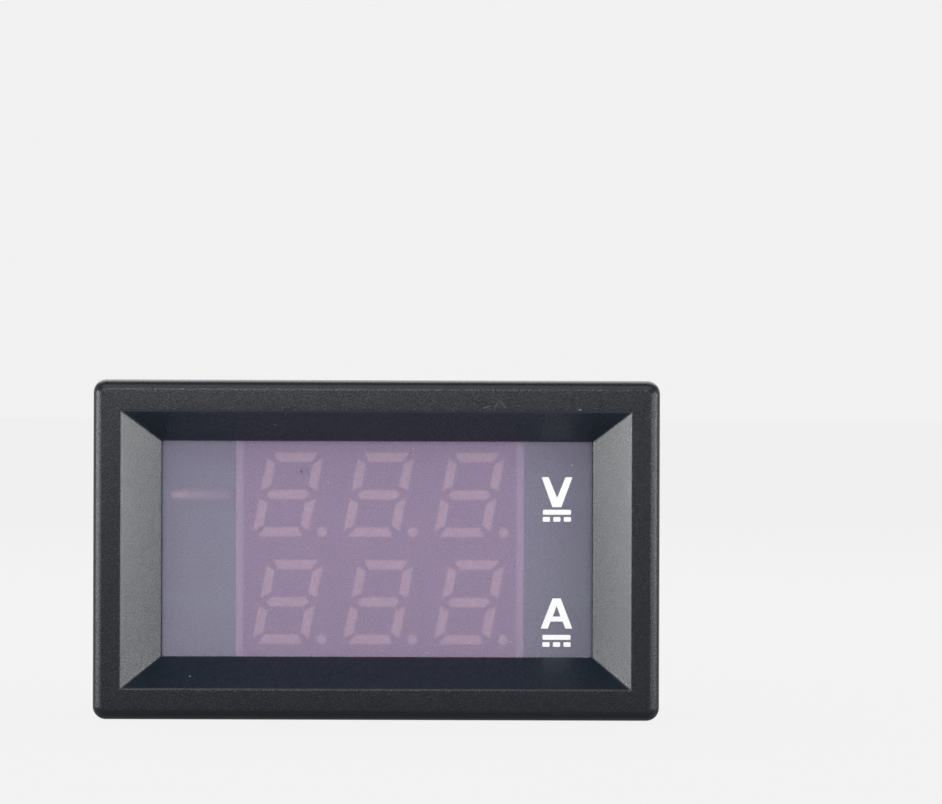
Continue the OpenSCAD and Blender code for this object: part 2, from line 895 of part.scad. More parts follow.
module trimmer_base(x) {
    color("#e8e4d8")
        on_board(x, trimmer_z)
            difference() {
                block([-trimmer_w / 2, 0, -trimmer_h / 2], [trimmer_w / 2, trimmer_t, trimmer_h / 2]);
                rod(shaft_d + 2 * rotor_clear, -cut, trimmer_t + cut);
            }
}

// One contact tab above the base and two below it
module trimmer_contacts(x) {
    top = trimmer_h / 2;
    color("silver")
        on_board(x, trimmer_z) {
            block([-trimmer_w / 4, 0, top], [trimmer_w / 4, tab_t, top + contact_reach]);
            for (side = [0, 1])
                mirror([side, 0, 0])
                    block([trimmer_w / 6, 0, -top - contact_reach], [trimmer_w / 2, tab_t, -top]);
        }
}

// Turning head with a cross slot, on a short shaft in the base
module trimmer_rotor(x) {
    top = trimmer_t + rotor_clear + rotor_t;
    color("#c9ccd0")
        on_board(x, trimmer_z)
            difference() {
                union() {
                    rod(rotor_d, trimmer_t + rotor_clear, top);
                    rod(shaft_d, rotor_clear, top - rotor_t / 2);
                }
                for (turn = [0, 90])
                    rotate([0, turn, 0])
                        block([-rotor_d, top - cross_depth, -cross_w / 2], [rotor_d, top + cut, cross_w / 2]);
            }
}

// --- Chips and small parts --------------------------------------------------

// Moulded chip body with the dimple that marks its first leg
module chip_body(w, len, t) {
    top = chip_stand + t;
    color("#232426")
        difference() {
            block([-w / 2, chip_stand, -len / 2], [w / 2, top, len / 2]);
            translate([w / 4, 0, len / 2 - 3 * dimple_r])
                rod(2 * dimple_r, top - dimple_depth, top + cut);
        }
}

// Two rows of bent legs beside a chip body
module chip_legs(w, t, count, pitch) {
    exit = chip_stand + t / 2;
    shoulder = w / 2 + leg_reach / 4;
    heel = w / 2 + leg_reach / 2;
    toe = w / 2 + leg_reach;
    color("silver")
        for (side = [0, 1], i = [0:count - 1])
            mirror([side, 0, 0])
                translate([0, 0, (i - (count - 1) / 2) * pitch])
                    along_z(pitch / 3)
                        polygon([
                            [w / 2, exit - leg_t / 2], [shoulder - leg_t / 2, exit - leg_t / 2],
                            [heel - leg_t / 2, 0], [toe, 0], [toe, leg_t],
                            [heel + leg_t / 2, leg_t], [shoulder + leg_t / 2, exit + leg_t / 2],
                            [w / 2, exit + leg_t / 2]
                        ]);
}

module controller_body() {
    on_board(controller_x, 0)
        chip_body(controller_w, controller_len, controller_t);
}

module controller_legs() {
    on_board(controller_x, 0)
        chip_legs(controller_w, controller_t, controller_leg_count, controller_pitch);
}

module amplifier_body() {
    on_board(amplifier_x, 0)
        chip_body(amplifier_w, amplifier_len, amplifier_t);
}

module amplifier_legs() {
    on_board(amplifier_x, 0)
        chip_legs(amplifier_w, amplifier_t, amplifier_leg_count, amplifier_pitch);
}

module regulator_body() {
    color("#232426")
        on_board(regulator_x, power_z)
            block([-regulator_w / 2, 0, -regulator_h / 2], [regulator_w / 2, regulator_t, regulator_h / 2]);
}

// Three legs below the regulator and its wide cooling tab above
module regulator_tabs() {
    leg_w = regulator_w / 10;
    top = regulator_h / 2;
    color("silver")
        on_board(regulator_x, power_z) {
            for (i = [-1:1])
                translate([i * regulator_w / 3, 0, 0])
                    block([-leg_w / 2, 0, -top - regulator_reach], [leg_w / 2, 2 * tab_t, -top]);
            block([-regulator_w / 5, 0, top], [regulator_w / 5, 2 * tab_t, top + regulator_reach]);
        }
}

// Body with sloping sides, its length upright on the board
module diode_body() {
    w = diode_w / 2;
    draft = diode_draft;
    color("#2a2b2d")
        on_board(diode_x, power_z)
            along_z(diode_len)
                polygon([
                    [draft - w, tab_t], [w - draft, tab_t], [w, diode_t / 2],
                    [w - draft, diode_t], [draft - w, diode_t], [-w, diode_t / 2]
                ]);
}

// Bent strips that leave both ends of the diode and turn under it
module diode_tabs() {
    half = diode_len / 2;
    color("silver")
        on_board(diode_x, power_z)
            for (end = [0, 1])
                mirror([0, 0, end])
                    along_x(diode_w / 2)
                        polygon([
                            [0, half - diode_foot], [0, half + tab_t], [diode_t / 2, half + tab_t],
                            [diode_t / 2, half], [tab_t, half], [tab_t, half - diode_foot]
                        ]);
}

// Places its children at each capacitor
module at_capacitors() {
    for (i = [0:2])
        on_board(small_x + i * small_pitch, power_z)
            children();
}

// Places its children at each resistor
module at_resistors() {
    for (i = [0:2], row = [-0.5, 0.5])
        on_board(small_x + i * small_pitch, resistor_z + row * resistor_row_pitch)
            children();
}

// Ceramic middle of a small two-ended part
module small_middle(len, w, t, end) {
    half = len / 2 - end;
    block([-half, 0, -w / 2], [half, t, w / 2]);
}

// Tinned ends of a small two-ended part
module small_ends(len, w, t, end) {
    half = len / 2 - end;
    for (side = [0, 1])
        mirror([side, 0, 0])
            block([half, 0, -w / 2], [len / 2, t, w / 2]);
}

module capacitor_bodies() {
    color("#a98d63")
        at_capacitors()
            small_middle(capacitor_len, capacitor_w, capacitor_w, capacitor_end);
}

module capacitor_ends() {
    color("silver")
        at_capacitors()
            small_ends(capacitor_len, capacitor_w, capacitor_w, capacitor_end);
}

module resistor_bodies() {
    color("#1c1d1f")
        at_resistors()
            small_middle(resistor_len, resistor_w, resistor_t, resistor_end);
}

module resistor_ends() {
    color("silver")
        at_resistors()
            small_ends(resistor_len, resistor_w, resistor_t, resistor_end);
}

// --- Nodes ------------------------------------------------------------------

housing();
lens();
display_shell();
display_film();
display_base();
display_pins();
digit(-1, 1);  // digit_upper_left
digit(0, 1);  // digit_upper_middle
digit(1, 1);  // digit_upper_right
digit(-1, -1);  // digit_lower_left
digit(0, -1);  // digit_lower_middle
digit(1, -1);  // digit_lower_right
circuit_board();
display_solder();
header_solder();
shunt_solder();
shunt_wire();
current_header();
current_pins();
supply_header();
supply_pins();
trimmer_base(voltage_trimmer_x);  // voltage_trimmer_base
trimmer_contacts(voltage_trimmer_x);  // voltage_trimmer_contacts
trimmer_rotor(voltage_trimmer_x);  // voltage_trimmer_rotor
trimmer_base(current_trimmer_x);  // current_trimmer_base
trimmer_contacts(current_trimmer_x);  // current_trimmer_contacts
trimmer_rotor(current_trimmer_x);  // current_trimmer_rotor
controller_body();
controller_legs();
amplifier_body();
amplifier_legs();
regulator_body();
regulator_tabs();
diode_body();
diode_tabs();
capacitor_bodies();
capacitor_ends();
resistor_bodies();
resistor_ends();
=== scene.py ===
# %% [markdown]
# # Digital panel meter
# A panel meter shows a voltage and a current on two rows of digits. The real one is a
# black moulded housing that snaps into a panel, with a tinted lens at its front and a
# circuit board at its rear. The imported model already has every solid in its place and
# size. This script adds what the eye expects: rounded edges, finishes, printed signs,
# solder, tracks, dust and light.

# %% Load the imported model
import math

import bmesh
import bpy
import numpy as np
from mathutils import Matrix, Vector
from mathutils.bvhtree import BVHTree


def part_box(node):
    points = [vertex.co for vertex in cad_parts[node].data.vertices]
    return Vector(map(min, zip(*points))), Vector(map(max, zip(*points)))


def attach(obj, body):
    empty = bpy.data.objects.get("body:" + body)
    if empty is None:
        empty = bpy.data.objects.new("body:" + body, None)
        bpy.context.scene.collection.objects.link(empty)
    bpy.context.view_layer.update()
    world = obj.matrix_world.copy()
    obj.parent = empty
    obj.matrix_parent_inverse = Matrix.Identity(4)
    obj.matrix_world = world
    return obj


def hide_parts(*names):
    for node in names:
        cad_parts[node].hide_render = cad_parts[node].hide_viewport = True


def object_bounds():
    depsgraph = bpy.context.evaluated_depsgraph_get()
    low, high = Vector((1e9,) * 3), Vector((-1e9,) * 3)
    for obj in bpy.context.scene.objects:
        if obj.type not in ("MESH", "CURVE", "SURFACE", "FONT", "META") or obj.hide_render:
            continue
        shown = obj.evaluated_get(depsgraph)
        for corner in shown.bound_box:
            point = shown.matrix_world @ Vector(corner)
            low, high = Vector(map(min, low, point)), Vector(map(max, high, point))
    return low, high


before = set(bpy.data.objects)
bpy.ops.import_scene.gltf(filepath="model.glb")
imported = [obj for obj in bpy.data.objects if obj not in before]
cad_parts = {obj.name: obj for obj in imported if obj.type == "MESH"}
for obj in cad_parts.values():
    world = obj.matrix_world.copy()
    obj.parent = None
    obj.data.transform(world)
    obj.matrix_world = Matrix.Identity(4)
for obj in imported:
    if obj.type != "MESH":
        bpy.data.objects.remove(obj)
MM = 0.001
SAME_PLACE = 1e-6
cad_low, cad_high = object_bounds()
print("CAD box in mm:", [round(v / MM, 2) for v in (*cad_low, *cad_high)])

# %% [markdown]
# ## Measuring the model
# A new piece has to sit on the solid that carries it, so its place is read from the
# model. A box gives the ends of a whole node. Legs, pins and tabs come many to a node,
# so a second helper finds each separate solid and gives its own box. It could be typed
# in as a list of places, but then a change to the model would leave the solder behind.

# %% Boxes and separate solids
def low(node, axis):
    """Lowest coordinate of a node along an axis, in metres."""
    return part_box(node)[0]["xyz".index(axis)]


def high(node, axis):
    """Highest coordinate of a node along an axis, in metres."""
    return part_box(node)[1]["xyz".index(axis)]


def mesh_arrays(mesh):
    """Points and edges of a mesh as arrays."""
    points = np.empty(len(mesh.vertices) * 3)
    mesh.vertices.foreach_get("co", points)
    edges = np.empty(len(mesh.edges) * 2, dtype=np.int32)
    mesh.edges.foreach_get("vertices", edges)
    return points.reshape(-1, 3), edges.reshape(-1, 2)


def solids(node):
    """Low and high corner of each separate solid of a node.

    Points at one place get one number. Then every point takes the lowest number among
    its neighbours until nothing changes, so that each solid ends with one number."""
    points, edges = mesh_arrays(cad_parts[node].data)
    _, weld = np.unique(np.round(points / SAME_PLACE).astype(int), axis=0, return_inverse=True)
    weld = weld.ravel()
    edges = weld[edges]
    label = np.arange(weld.max() + 1)
    while True:
        lowest = np.minimum(label[edges[:, 0]], label[edges[:, 1]])
        spread = label.copy()
        np.minimum.at(spread, edges[:, 0], lowest)
        np.minimum.at(spread, edges[:, 1], lowest)
        if (spread == label).all():
            break
        label = spread
    group = label[weld]
    return [(points[group == g].min(0), points[group == g].max(0)) for g in np.unique(group)]


display_pin_boxes = solids("display_pins")
print("solids of the display's pins:", len(display_pin_boxes))

# %% [markdown]
# ## Rounded copies of the solids
# A moulded edge is never quite sharp, and the thin line of light along it is what makes
# a part look solid. The model's solids have sharp edges, so each one is copied, its
# doubled points are welded and its flat triangles are joined. A live Bevel modifier then
# rounds the edges that turn by more than 35 degrees, and a Weighted Normal modifier keeps
# the large faces flat beside them. Curved walls turn by less and stay as they are. A bevel
# in the shader would be quicker, but it would not be part of the mesh.

# %% Helper that makes a rounded copy
def give_finish(piece, slot, *materials):
    """Puts materials on a piece. The slot that they stand for is not used."""
    piece.data.materials.clear()
    for material in materials:
        piece.data.materials.append(material)


def new_piece(name, mesh, body="meter"):
    """Object at the origin that shows a mesh and moves with a body."""
    piece = bpy.data.objects.new(name, mesh)
    bpy.context.scene.collection.objects.link(piece)
    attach(piece, body)
    return piece


def rounded_copy(name, nodes, width, body="meter", segments=2, angle=35):
    """Copy of some nodes as one piece, with edges rounded to a width in mm."""
    form = bmesh.new()
    for node in nodes:
        form.from_mesh(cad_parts[node].data)
    bmesh.ops.remove_doubles(form, verts=form.verts, dist=2 * SAME_PLACE)
    bmesh.ops.join_triangles(form, faces=form.faces, angle_face_threshold=math.radians(1),
                             angle_shape_threshold=math.radians(60))
    mesh = bpy.data.meshes.new(name)
    form.to_mesh(mesh)
    form.free()
    mesh.polygons.foreach_set("use_smooth", np.ones(len(mesh.polygons), dtype=bool))
    piece = new_piece(name, mesh, body)
    if not width:
        mesh.set_sharp_from_angle(angle=math.radians(angle))
    else:
        bevel = piece.modifiers.new("Rounded edges", "BEVEL")
        bevel.width = width * MM
        bevel.segments = segments
        bevel.limit_method = "ANGLE"
        bevel.angle_limit = math.radians(angle)
        bevel.use_clamp_overlap = False
        even = piece.modifiers.new("Flat faces stay flat", "WEIGHTED_NORMAL")
        even.mode = "FACE_AREA"
        even.weight = 100
        even.keep_sharp = True
    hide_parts(*nodes)
    return piece


# %% [markdown]
# ## Surfaces from numbers
# Solder, tracks and printed signs are not in the model. Solder is a profile turned about
# its pin, and the rest are flat outlines a few hundredths of a millimetre thick. Both
# are worked out as whole arrays, so hundreds of points cost one line.

# %% Helpers for turned and flat surfaces
def mesh_from(name, points, faces):
    """Mesh from arrays, with its normals turned outwards."""
    mesh = bpy.data.meshes.new(name)
    mesh.from_pydata(np.asarray(points).tolist(), [], faces)
    form = bmesh.new()
    form.from_mesh(mesh)
    bmesh.ops.recalc_face_normals(form, faces=form.faces)
    form.to_mesh(mesh)
    form.free()
    return mesh


def turned(centres, radius, depth, sides=20):
    """Points and faces of a profile turned about an axis along Y through each centre.

    A profile point at radius r and depth d gives the ring (cx + r cos a, cy + d,
    cz + r sin a), with a running once round. The first and the last ring are closed
    by a flat face."""
    centres = np.asarray(centres, dtype=float)
    turn = np.linspace(0, 2 * np.pi, sides, endpoint=False)
    across, up = np.outer(radius, np.cos(turn)), np.outer(radius, np.sin(turn))
    ring = np.stack([across, np.outer(depth, np.ones(sides)), up], -1)
    points = (centres[:, None, None, :] + ring[None]).reshape(-1, 3)
    rings = len(radius)
    k, j = np.meshgrid(np.arange(rings - 1), np.arange(sides), indexing="ij")
    this, after = k * sides, (k + 1) * sides
    turned_on = (j + 1) % sides
    quad = np.stack([this + j, this + turned_on, after + turned_on, after + j], -1).reshape(-1, 4)
    caps = [list(range(sides)), list(range((rings - 1) * sides, rings * sides))]
    faces = []
    for n in range(len(centres)):
        step = n * rings * sides
        faces += (quad + step).tolist() + [[i + step for i in cap] for cap in caps]
    return points, faces


def plates(outlines, y0, y1):
    """Points and faces of flat plates between two depths, one per outline.

    An outline is a closed row of (x, z) corners. Each plate is the outline at y0, the
    same outline at y1, and a wall between neighbouring corners."""
    points, faces, start = [], [], 0
    for outline in outlines:
        outline = np.asarray(outline, dtype=float)
        n = len(outline)
        front = np.column_stack([outline[:, 0], np.full(n, y0), outline[:, 1]])
        back = front + [0, y1 - y0, 0]
        points += [front, back]
        i = np.arange(n)
        j = (i + 1) % n
        walls = np.column_stack([i, j, j + n, i + n]) + start
        faces += walls.tolist() + [(i + start).tolist(), (i + n + start).tolist()]
        start += 2 * n
    return np.vstack(points), faces


def softened(corners, r, steps=4):
    """Closed outline with each corner replaced by a curve.

    The curve starts and ends at distance r from the corner, or at 40% of a shorter side,
    and follows the parabola that touches both sides."""
    p = np.asarray(corners, dtype=float)
    before, after = np.roll(p, 1, 0) - p, np.roll(p, -1, 0) - p
    len_b, len_a = np.linalg.norm(before, axis=1), np.linalg.norm(after, axis=1)
    a = p + before * (np.minimum(r, 0.4 * len_b) / len_b)[:, None]
    b = p + after * (np.minimum(r, 0.4 * len_a) / len_a)[:, None]
    t = np.linspace(0, 1, steps)[None, :, None]
    curve = (1 - t) ** 2 * a[:, None] + 2 * t * (1 - t) * p[:, None] + t ** 2 * b[:, None]
    return curve.reshape(-1, 2)


def box_outline(x0, x1, z0, z1):
    """Corners of a rectangle, once round."""
    return [[x0, z0], [x1, z0], [x1, z1], [x0, z1]]


print("surface helpers ready")

# %% [markdown]
# ## Camera
# The view is square on to the front face from about a third of a metre, a little to the
# right of the meter and above it, so the recess shows more of its left and lower walls.
# A long lens does this without shift, so the camera stands off centre and looks straight
# ahead.

# %% Camera
front_y = cad_low.y
roll = math.radians(0.19)
camera_data = bpy.data.cameras.new("camera")
camera_data.sensor_width = 36
camera_data.lens = 158.2
camera_data.clip_start = 0.01
camera = bpy.data.objects.new("camera", camera_data)
bpy.context.scene.collection.objects.link(camera)
to_the_right = 7.98 * MM
in_front = 350 * MM
above_middle = 12.58 * MM
camera.location = (to_the_right, front_y - in_front, above_middle)
straight_ahead = Matrix.Rotation(math.radians(90), 4, "X")
camera.rotation_euler = (Matrix.Rotation(-roll, 4, "Y") @ straight_ahead).to_euler()
bpy.context.scene.camera = camera
print("camera at", [round(v, 4) for v in camera.location])

# %% [markdown]
# ## Light and floor
# Black plastic shows its form by what it reflects, not by its own colour. Two low soft
# boxes stand beside the meter, so that the recess's slopes at left and right shine grey,
# while the slopes above and below see mostly each other and stay dark. Two more stand
# nearer the camera for the flange's rounding, and a small lamp above the camera lights its
# top edge and the lens. A weak lamp overhead and one behind lift the top and the rear.
#
# The world is pale to the camera and to reflections, dimmer towards the top and, for
# reflections, towards the camera's side. It lights the object less than it shows. The
# floor is nearly all glow to the camera, about a third glow to reflections, and matt grey
# to everything else.

# %% Helpers for shader nodes and lamps
def add(tree, kind, inputs=None, **settings):
    """Adds a shader node, sets its options, and links or sets its inputs."""
    node = tree.nodes.new(kind)
    for key, value in settings.items():
        setattr(node, key, value)
    for key, value in (inputs or {}).items():
        if isinstance(value, bpy.types.NodeSocket):
            tree.links.new(value, node.inputs[key])
        else:
            node.inputs[key].default_value = value
    return node


def combined(tree, operation, first, second):
    """Output of a maths node that takes two values."""
    return add(tree, "ShaderNodeMath", {0: first, 1: second}, operation=operation).outputs[0]


def faded(tree, value, start, end, first, last):
    """Output that runs from first to last while a value runs from start to end."""
    ends = {"From Min": start, "From Max": end, "To Min": first, "To Max": last}
    return add(tree, "ShaderNodeMapRange", {"Value": value, **ends}).outputs[0]


def soft_box(name, place, aim, width, height, radiance):
    """Area lamp at a place in metres, aimed at a point, of a size and a radiance.

    The power of a flat lamp is four times its area times its radiance."""
    data = bpy.data.lights.new(name, "AREA")
    data.shape = "RECTANGLE"
    data.size, data.size_y = width, height
    data.energy = 4 * width * height * radiance
    lamp = bpy.data.objects.new(name, data)
    bpy.context.scene.collection.objects.link(lamp)
    lamp.location = place
    lamp.rotation_euler = (Vector(aim) - Vector(place)).to_track_quat("-Z", "Y").to_euler()
    lamp.visible_camera = False
    return lamp


# %% Lamps and world
soft_box("side lamp left", (-0.30, -0.12, 0.009), (0, -0.12, 0.009), 0.24, 0.045, 9.8)
soft_box("side lamp right", (0.30, -0.12, 0.009), (0, -0.12, 0.009), 0.24, 0.045, 7.2)
soft_box("front lamp left", (-0.235, -0.26, 0.010), (0, 0, 0.010), 0.16, 0.045, 5.5)
soft_box("front lamp right", (0.20, -0.285, 0.010), (0, 0, 0.010), 0.17, 0.045, 7.0)
soft_box("lamp above", (-0.05, -0.46, 0.11), (0, 0, 0), 0.16, 0.05, 14.0)
soft_box("lamp overhead", (0.0, -0.33, 0.33), (0, 0, 0), 0.60, 0.30, 1.3)
soft_box("lamp rear", (0.0, 0.24, 0.34), (0, 0, 0), 0.60, 0.36, 2.2)

world = bpy.data.worlds.new("studio")
bpy.context.scene.world = world
world.use_nodes = True
tree = world.node_tree
tree.nodes.clear()
ray = add(tree, "ShaderNodeLightPath").outputs
seen = combined(tree, "MAXIMUM", ray["Is Camera Ray"], ray["Is Glossy Ray"])
seen = combined(tree, "MAXIMUM", seen, ray["Is Transmission Ray"])
dim = add(tree, "ShaderNodeBackground", {"Color": (0.97, 0.98, 1.0, 1), "Strength": 0.38})
direction = add(tree, "ShaderNodeTexCoord").outputs["Generated"]
towards = add(tree, "ShaderNodeSeparateXYZ", {0: direction}).outputs
to_the_top = faded(tree, towards["Z"], 0.3, 0.8, 1.0, 0.4)
to_the_camera = faded(tree, towards["Y"], -0.9, -0.4, 0.05, 1.0)
to_the_camera = combined(tree, "MAXIMUM", to_the_camera, ray["Is Camera Ray"])
level = combined(tree, "MULTIPLY", to_the_top, to_the_camera)
pale = add(tree, "ShaderNodeBackground", {"Color": (0.885, 0.885, 0.89, 1), "Strength": level})
mixed = add(tree, "ShaderNodeMixShader", {0: seen, 1: dim.outputs[0], 2: pale.outputs[0]})
add(tree, "ShaderNodeOutputWorld", {"Surface": mixed.outputs[0]})
bpy.context.scene.view_settings.view_transform = "Standard"

# %% Floor
floor_z = cad_low.z
floor_mesh = bpy.data.meshes.new("floor")
floor_corners = box_outline(-4, 4, -4, 6)
floor_mesh.from_pydata([(x, y, floor_z) for x, y in floor_corners], [], [(0, 1, 2, 3)])
floor = bpy.data.objects.new("floor", floor_mesh)
bpy.context.scene.collection.objects.link(floor)
floor_paint = bpy.data.materials.new("floor_paint")
floor_paint.use_nodes = True
tree = floor_paint.node_tree
tree.nodes.clear()
ray = add(tree, "ShaderNodeLightPath").outputs
matt = add(tree, "ShaderNodeBsdfDiffuse", {"Color": (0.42, 0.42, 0.43, 1)})
lit = add(tree, "ShaderNodeEmission", {"Color": (0.914, 0.914, 0.917, 1), "Strength": 1.0})
straight = combined(tree, "MAXIMUM", ray["Is Camera Ray"], ray["Is Transmission Ray"])
straight = combined(tree, "MULTIPLY", straight, 0.94)
mirrored = combined(tree, "MULTIPLY", ray["Is Glossy Ray"], 0.35)
glow = combined(tree, "MAXIMUM", straight, mirrored)
mixed = add(tree, "ShaderNodeMixShader", {0: glow, 1: matt.outputs[0], 2: lit.outputs[0]})
add(tree, "ShaderNodeOutputMaterial", {"Surface": mixed.outputs[0]})
floor_mesh.materials.append(floor_paint)
print("floor at", round(floor_z / MM, 2), "mm")

# %% [markdown]
# ## Finishes
# Every finish is built from the same few steps: Object coordinates, a noise at the size
# of the real grain, a little colour variation, a roughness that varies with it, and a
# bump. The noise is in metres, so a scale of 5000 gives grains of a fifth of a
# millimetre. Colours are written as linear values.

# %% Helper for a finish
def finish(name, colour, second, rough, spread=0.05, scale=1500, grain=6000, bump=0.05,
           metal=0.0, gloss=0.5, alpha=1.0, coat=0.0):
    """Material whose colour runs between two values, with its own roughness and grain.

    A noise of the given scale mixes the two colours. A finer noise moves the roughness
    up and down by the spread and gives the bump."""
    material = bpy.data.materials.new(name)
    material.use_nodes = True
    tree = material.node_tree
    tree.nodes.clear()
    place = add(tree, "ShaderNodeTexCoord").outputs["Object"]
    cloud = add(tree, "ShaderNodeTexNoise",
                {"Vector": place, "Scale": scale, "Detail": 3.0, "Roughness": 0.55})
    tint = add(tree, "ShaderNodeMix", {"Factor": cloud.outputs["Fac"]}, data_type="RGBA")
    tint.inputs[6].default_value = (*colour, 1)
    tint.inputs[7].default_value = (*second, 1)
    fine = add(tree, "ShaderNodeTexNoise", {"Vector": place, "Scale": grain, "Detail": 2.0})
    matt = faded(tree, fine.outputs["Fac"], 0.3, 0.7, rough - spread, rough + spread)
    relief = add(tree, "ShaderNodeBump",
                 {"Height": fine.outputs["Fac"], "Strength": bump, "Distance": 0.00003})
    shader = add(tree, "ShaderNodeBsdfPrincipled",
                 {"Base Color": tint.outputs[2], "Roughness": matt, "Normal": relief.outputs[0]},
                 name="surface")
    shader.inputs["Metallic"].default_value = metal
    shader.inputs["Specular IOR Level"].default_value = gloss
    shader.inputs["Alpha"].default_value = alpha
    shader.inputs["Coat Weight"].default_value = coat
    add(tree, "ShaderNodeOutputMaterial", {"Surface": shader.outputs[0]})
    return material


def paint_shade_and_speckle(material, first, last, start, end, speck=0.0, scale=9000):
    """Paints shade into a finish's colour along X, and adds a fine speckle of grain to it.

    The colour is multiplied by a painted-shade factor that runs from first at the place start
    to last at the place end, in metres, and by 1 plus or minus the speck, after a fine noise."""
    tree = material.node_tree
    surface = tree.nodes["surface"]
    colour = surface.inputs["Base Color"].links[0].from_socket
    place = add(tree, "ShaderNodeTexCoord").outputs["Object"]
    across = add(tree, "ShaderNodeSeparateXYZ", {0: place})
    painted_shade = faded(tree, across.outputs["X"], start, end, first, last)
    noise = add(tree, "ShaderNodeTexNoise", {"Vector": place, "Scale": scale, "Detail": 1.0})
    grain = faded(tree, noise.outputs["Fac"], 0.3, 0.7, 1 - speck, 1 + speck)
    both = combined(tree, "MULTIPLY", painted_shade, grain)
    scaled = add(tree, "ShaderNodeVectorMath", {0: colour, "Scale": both}, operation="SCALE")
    tree.links.new(scaled.outputs[0], surface.inputs["Base Color"])


# %% Plain finishes of the parts
black_moulding = finish(
    "black_moulding", (0.0012, 0.0024, 0.0062), (0.0030, 0.0044, 0.0090),
    rough=0.28, spread=0.04, scale=700, grain=9000, bump=0.5, gloss=0.40)
satin_slope = finish(
    "satin_slope", (0.0004, 0.0055, 0.0120), (0.0012, 0.0080, 0.0160),
    rough=0.29, spread=0.04, scale=900, grain=11000, bump=0.5, gloss=0.90)
smoked_lens_painted_shade = finish(
    "smoked_lens_painted_shade", (0.325, 0.287, 0.410), (0.305, 0.270, 0.388),
    rough=0.10, spread=0.02, scale=260, grain=900, bump=0.02, alpha=0.52)
# Painted shade: the lens tint is scaled from 1.09 at x = 12 mm to 0.72 at 19.5 mm, darker where the recess
# wall shades the window's right edge; the speckle is grain.
paint_shade_and_speckle(smoked_lens_painted_shade, first=1.09, last=0.72, start=12 * MM, end=19.5 * MM, speck=0.11)
clear_lens = finish(
    "clear_lens", (0.5, 0.45, 0.55), (0.5, 0.45, 0.55),
    rough=0.2, spread=0.02, scale=260, grain=900, bump=0.0, alpha=0.04)
white_case = finish(
    "white_case", (0.46, 0.28, 0.41), (0.41, 0.25, 0.37),
    rough=0.42, spread=0.06, scale=900, grain=5000, bump=0.12)
grey_face = finish(
    "grey_face", (0.230, 0.050, 0.155), (0.205, 0.042, 0.138),
    rough=0.5, spread=0.06, scale=1200, grain=6000, bump=0.15)
milky_resin = finish(
    "milky_resin", (0.62, 0.34, 0.40), (0.57, 0.31, 0.37),
    rough=0.33, spread=0.05, scale=1500, grain=6000, bump=0.10)
green_mask = finish(
    "green_mask", (0.012, 0.165, 0.062), (0.020, 0.215, 0.085),
    rough=0.30, spread=0.05, scale=500, grain=3000, bump=0.10, coat=0.15)
green_track = finish(
    "green_track", (0.030, 0.285, 0.115), (0.045, 0.34, 0.14),
    rough=0.30, spread=0.05, scale=900, grain=3000, bump=0.08, coat=0.15)
bright_solder = finish(
    "bright_solder", (0.72, 0.73, 0.74), (0.60, 0.61, 0.63),
    rough=0.24, spread=0.08, scale=1800, grain=5000, bump=0.18, metal=1.0)
tin_plate = finish(
    "tin_plate", (0.74, 0.74, 0.73), (0.62, 0.62, 0.61),
    rough=0.30, spread=0.08, scale=2200, grain=7000, bump=0.12, metal=1.0)
dull_alloy = finish(
    "dull_alloy", (0.62, 0.46, 0.43), (0.55, 0.40, 0.37),
    rough=0.62, spread=0.08, scale=1500, grain=6000, bump=0.15, metal=0.35)
cream_nylon = finish(
    "cream_nylon", (0.76, 0.74, 0.66), (0.70, 0.68, 0.60),
    rough=0.42, spread=0.06, scale=500, grain=4000, bump=0.12)
trimmer_body = finish(
    "trimmer_body", (0.66, 0.62, 0.50), (0.58, 0.54, 0.43),
    rough=0.5, spread=0.06, scale=900, grain=4000, bump=0.10)
chip_moulding = finish(
    "chip_moulding", (0.018, 0.018, 0.019), (0.028, 0.028, 0.030),
    rough=0.55, spread=0.08, scale=1500, grain=9000, bump=0.30)
tan_ceramic = finish(
    "tan_ceramic", (0.33, 0.215, 0.125), (0.27, 0.175, 0.10),
    rough=0.45, spread=0.06, scale=1200, grain=6000, bump=0.12)
white_ink = finish(
    "white_ink", (0.86, 0.86, 0.87), (0.83, 0.83, 0.84),
    rough=0.45, spread=0.05, scale=2500, grain=9000, bump=0.10)
print("finishes:", len(bpy.data.materials))

# %% [markdown]
# ## Housing
# The housing is one injection moulding: a flange with a funnel-shaped recess, and a
# thin-walled box behind it with two springy catches. Its form is all in the model, so the
# copy only rounds the edges by about a tenth of a millimetre. The recess's slopes get a
# glossier finish than the rest, and are found by how far their faces lean.

# %% Housing
def face_values(mesh, what):
    """Normals or centres of a mesh's faces, one row of three numbers for each."""
    values = np.empty(len(mesh.polygons) * 3)
    mesh.polygons.foreach_get(what, values)
    return values.reshape(-1, 3)


housing = rounded_copy("housing_moulding", ["housing"], 0.12, segments=3)
give_finish(housing, "housing_plastic", black_moulding, satin_slope)
flange_edge = 2 * MM
lean = -face_values(housing.data, "normal")[:, 1]
centres = np.abs(face_values(housing.data, "center"))
inside = (centres[:, 0] < cad_high.x - flange_edge) & (centres[:, 2] < cad_high.z - flange_edge)
slopes = (lean > 0.6) & (lean < 0.9) & inside
housing.data.polygons.foreach_set("material_index", slopes.astype(np.int32))
print("housing faces:", len(housing.data.polygons))

# %% [markdown]
# ## Lens
# The lens is a flat sheet of smoked acrylic. Its front face holds the tint and the haze,
# and the other faces are nearly clear, so that light isn't dimmed twice. Its tint carries
# painted shade, darker towards the right edge where the recess wall shades it.

# %% Lens
lens = rounded_copy("smoked_lens_sheet", ["lens"], 0.1)
give_finish(lens, "lens_tint", smoked_lens_painted_shade, clear_lens)
not_front = face_values(lens.data, "normal")[:, 1] > -0.5
lens.data.polygons.foreach_set("material_index", not_front.astype(np.int32))
print("lens faces:", len(lens.data.polygons))

